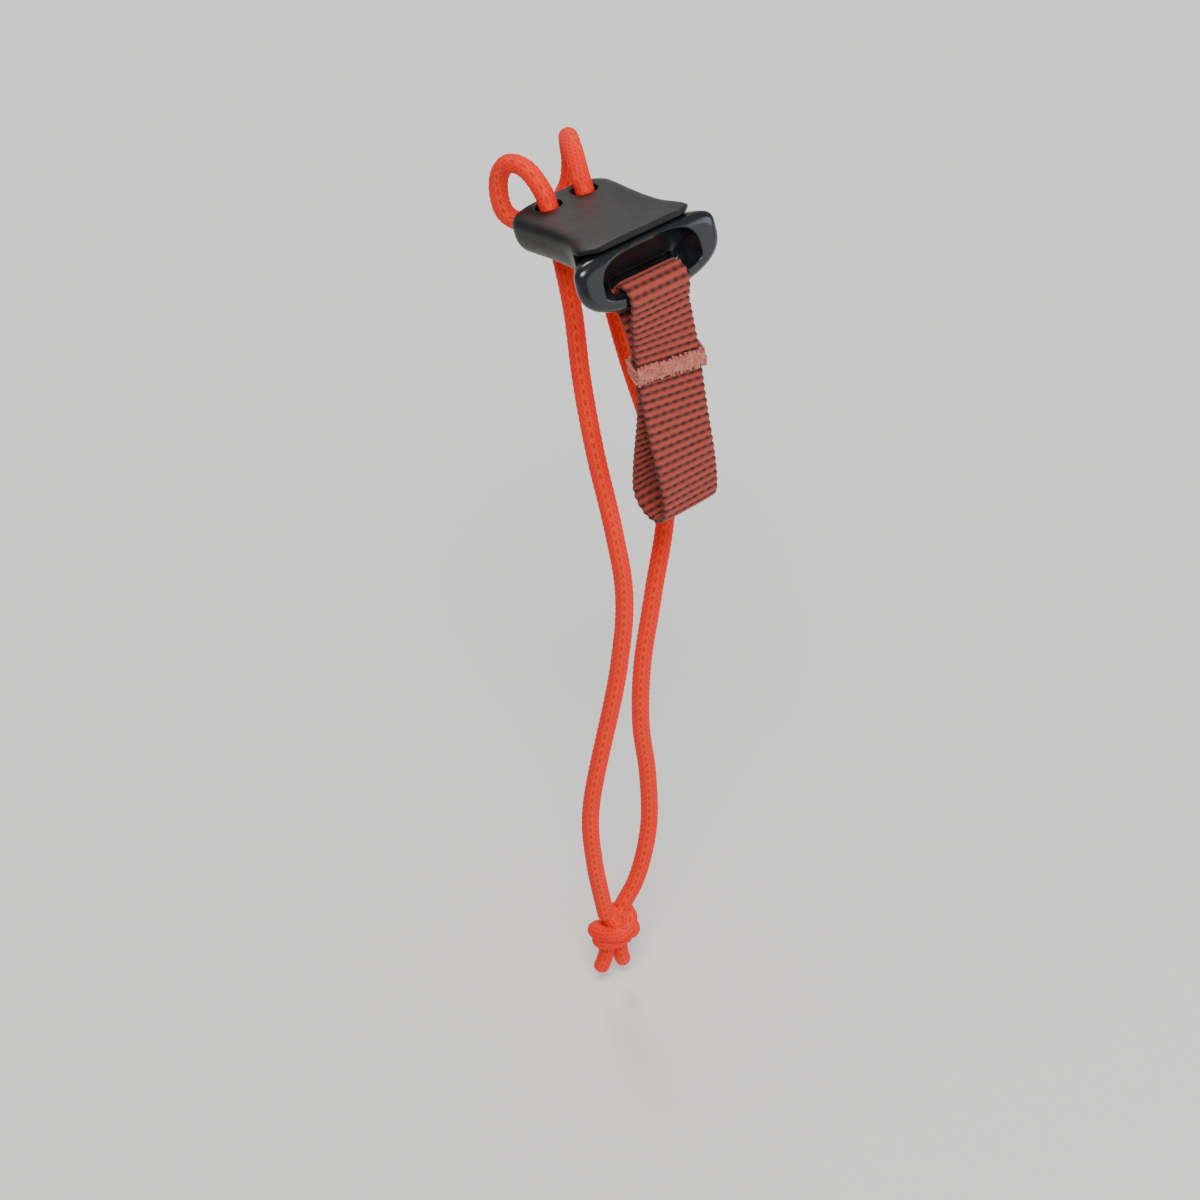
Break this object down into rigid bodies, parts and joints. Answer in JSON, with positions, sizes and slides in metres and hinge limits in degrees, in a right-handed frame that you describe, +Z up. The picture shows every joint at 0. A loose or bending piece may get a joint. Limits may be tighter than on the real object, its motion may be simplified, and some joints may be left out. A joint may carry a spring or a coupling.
{
  "type": "cord lock",
  "caption": "Flat drawcord lock with a flared mouth, a sprung plunger ring, a webbing pull tab and a knotted drawcord.",
  "frame": {"origin": "midway between the two cord holes, level with the top of the mouth edge, where the drawcord holds the lock up", "axes": "+X to the right across the lock, -Y outward from what it hangs on, +Z up as it hangs; the lock itself is pitched 23.8 degrees about X, mouth outward and up"},
  "size_m": [0.0252, 0.0452, 0.1769],
  "materials": {
    "housing": "matte charcoal, finely textured",
    "plunger": "semi-gloss black",
    "spring": "bright drawn wire",
    "webbing": "rust-red ribbed webbing",
    "thread": "rust-pink sewing thread",
    "cord": "orange-red braid with darker flecks"
  },
  "bodies": {
    "housing": {"housing_cover": "housing", "housing_base": "housing", "spring": "spring"},
    "plunger": {"plunger": "plunger"},
    "pull_tab": {"pull_tab": "webbing", "bar_tack": "thread"},
    "drawcord": {"drawcord": "cord", "drawcord_knot": "cord"}
  },
  "joints": [
    {"name": "plunger_slide", "type": "slide", "parent": "housing", "child": "plunger", "axis": [0, -0.915, 0.4035], "range_m": [0, 0.004], "stiffness_N_per_m": 800, "springref_m": -0.003, "deforming": ["spring"]},
    {"name": "pull_tab_swing", "type": "hinge", "parent": "plunger", "child": "pull_tab", "pos_m": [0, -0.02202, -0.00111], "axis": [1, 0, 0], "range_deg": [-110, 2]},
    {"name": "drawcord_run", "type": "slide", "parent": "housing", "child": "drawcord", "axis": [0, 0.4035, 0.915], "range_m": [0, 0.006]}
  ]
}
